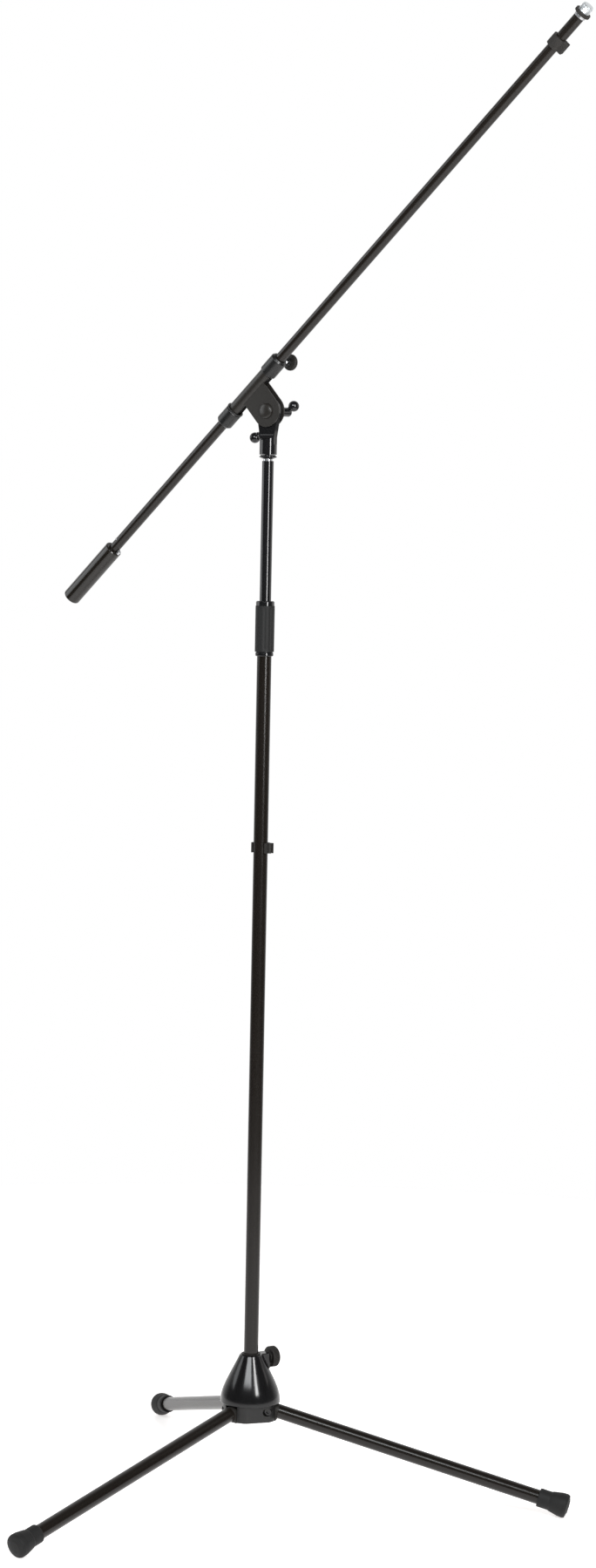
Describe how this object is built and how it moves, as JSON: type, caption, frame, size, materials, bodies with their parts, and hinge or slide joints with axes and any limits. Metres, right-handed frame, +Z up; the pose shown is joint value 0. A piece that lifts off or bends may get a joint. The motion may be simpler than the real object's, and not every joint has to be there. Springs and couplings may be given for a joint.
{
  "type": "boom microphone stand",
  "caption": "Folding tripod microphone stand with a telescoping column, grip clutch and a tilting, sliding boom arm with a counterweight.",
  "frame": {"origin": "on the column axis at floor level, midway between the three feet", "axes": "+Z up along the column; the boom lies in the XZ plane and rises toward +X; the tilt axis is parallel to Y"},
  "size_m": [0.8839, 0.7227, 2.0288],
  "materials": {
    "satin_tube": "satin black powder coat on steel tube",
    "gloss_black": "high gloss black lacquer",
    "gloss_casting": "gloss black powder coat on zinc casting",
    "satin_casting": "satin black casting",
    "satin_sheet": "satin black pressed steel sheet",
    "satin_weight": "satin black solid steel",
    "matte_plastic": "matte moulded black plastic",
    "rubber": "matte black rubber",
    "bright_steel": "bright zinc plated steel",
    "bright_zinc": "bright nickel plated zinc",
    "inner_plastic": "natural grey nylon"
  },
  "bodies": {
    "base": {"base_bell": "gloss_casting", "leg_hub": "satin_casting", "mast_guide_bush": "matte_plastic", "clamp_shoe": "inner_plastic", "leg_screws": "gloss_black", "hub_screws": "bright_steel"},
    "base_knob": {"base_knob": "matte_plastic", "base_knob_screw": "bright_steel"},
    "leg_right": {"leg_tube_right": "satin_tube", "leg_knuckle_right": "matte_plastic", "leg_foot_right": "rubber"},
    "leg_rear": {"leg_tube_rear": "satin_tube", "leg_knuckle_rear": "matte_plastic", "leg_foot_rear": "rubber"},
    "leg_left": {"leg_tube_left": "satin_tube", "leg_knuckle_left": "matte_plastic", "leg_foot_left": "rubber"},
    "mast": {"mast_tube": "satin_tube", "mast_end_plug": "matte_plastic", "mast_cable_clip": "matte_plastic", "clutch_body": "gloss_black", "clutch_collet": "inner_plastic"},
    "clutch_nut": {"clutch_nut": "gloss_black", "clutch_grip": "rubber"},
    "rod": {"upper_rod": "gloss_black", "rod_guide_bush": "matte_plastic", "rod_stud": "bright_steel", "head_lock_nut": "gloss_black"},
    "head": {"swivel_head": "gloss_black"},
    "clamp": {"boom_clamp_bracket": "satin_sheet", "boom_liner": "inner_plastic", "friction_discs": "inner_plastic", "pivot_bolt": "satin_sheet", "pivot_washer": "bright_steel", "upper_collar": "satin_casting", "lower_collar": "satin_casting"},
    "tilt_nut": {"tilt_nut": "gloss_black"},
    "tommy_bar": {"tommy_bar": "gloss_black", "bar_ball_upper": "gloss_black", "bar_ball_lower": "gloss_black"},
    "boom_knob": {"boom_knob": "matte_plastic", "boom_knob_screw": "bright_steel"},
    "boom": {"boom_tube": "satin_tube", "boom_thread_stud": "bright_steel", "thread_adapter": "bright_zinc", "boom_cable_clip": "matte_plastic", "boom_stop_pin": "bright_steel", "counterweight": "satin_weight", "counterweight_screw": "bright_steel"},
    "lock_ring": {"lock_ring": "matte_plastic"}
  },
  "joints": [
    {"name": "leg_right_fold", "type": "hinge", "parent": "base", "child": "leg_right", "pos_m": [0.02719, 0.01268, 0.1219], "axis": [-0.4226, 0.9063, 0], "range_deg": [0, 75]},
    {"name": "leg_rear_fold", "type": "hinge", "parent": "base", "child": "leg_rear", "pos_m": [-0.02457, 0.01721, 0.1219], "axis": [-0.5736, -0.8192, 0], "range_deg": [0, 75]},
    {"name": "leg_left_fold", "type": "hinge", "parent": "base", "child": "leg_left", "pos_m": [-0.00262, -0.02989, 0.1219], "axis": [0.9962, -0.0872, 0], "range_deg": [0, 75]},
    {"name": "base_knob_turn", "type": "hinge", "parent": "base", "child": "base_knob", "pos_m": [0.01107, 0.03215, 0.19], "axis": [0.3256, 0.9455, 0], "range_deg": [0, 270]},
    {"name": "mast_slide", "type": "slide", "parent": "base", "child": "mast", "axis": [0, 0, 1], "range_m": [-0.3, 0]},
    {"name": "clutch_nut_turn", "type": "hinge", "parent": "mast", "child": "clutch_nut", "pos_m": [0, 0, 1.21], "axis": [0, 0, 1], "range_deg": [0, 120]},
    {"name": "rod_slide", "type": "slide", "parent": "mast", "child": "rod", "axis": [0, 0, 1], "range_m": [-0.17, 0.7]},
    {"name": "head_swivel", "type": "hinge", "parent": "rod", "child": "head", "pos_m": [0, 0, 1.46], "axis": [0, 0, 1], "continuous": true},
    {"name": "boom_tilt", "type": "hinge", "parent": "head", "child": "clamp", "pos_m": [0, 0, 1.5103], "axis": [0, -1, 0], "range_deg": [-130, 45]},
    {"name": "tilt_nut_turn", "type": "hinge", "parent": "clamp", "child": "tilt_nut", "pos_m": [0, 0.025, 1.5103], "axis": [0, -1, 0], "range_deg": [-100, 30]},
    {"name": "tommy_bar_slide", "type": "slide", "parent": "tilt_nut", "child": "tommy_bar", "axis": [0.8377, 0, 0.5461], "range_m": [0, 0.047]},
    {"name": "boom_knob_turn", "type": "hinge", "parent": "clamp", "child": "boom_knob", "pos_m": [0.01353, 0.025, 1.57778], "axis": [0, 1, 0], "range_deg": [0, 270]},
    {"name": "boom_slide", "type": "slide", "parent": "clamp", "child": "boom", "axis": [0.7383, 0, 0.6744], "range_m": [-0.58, 0.24]},
    {"name": "lock_ring_turn", "type": "hinge", "parent": "boom", "child": "lock_ring", "pos_m": [0.49241, 0, 2.01522], "axis": [0.7383, 0, 0.6744], "range_deg": [0, 270]}
  ]
}
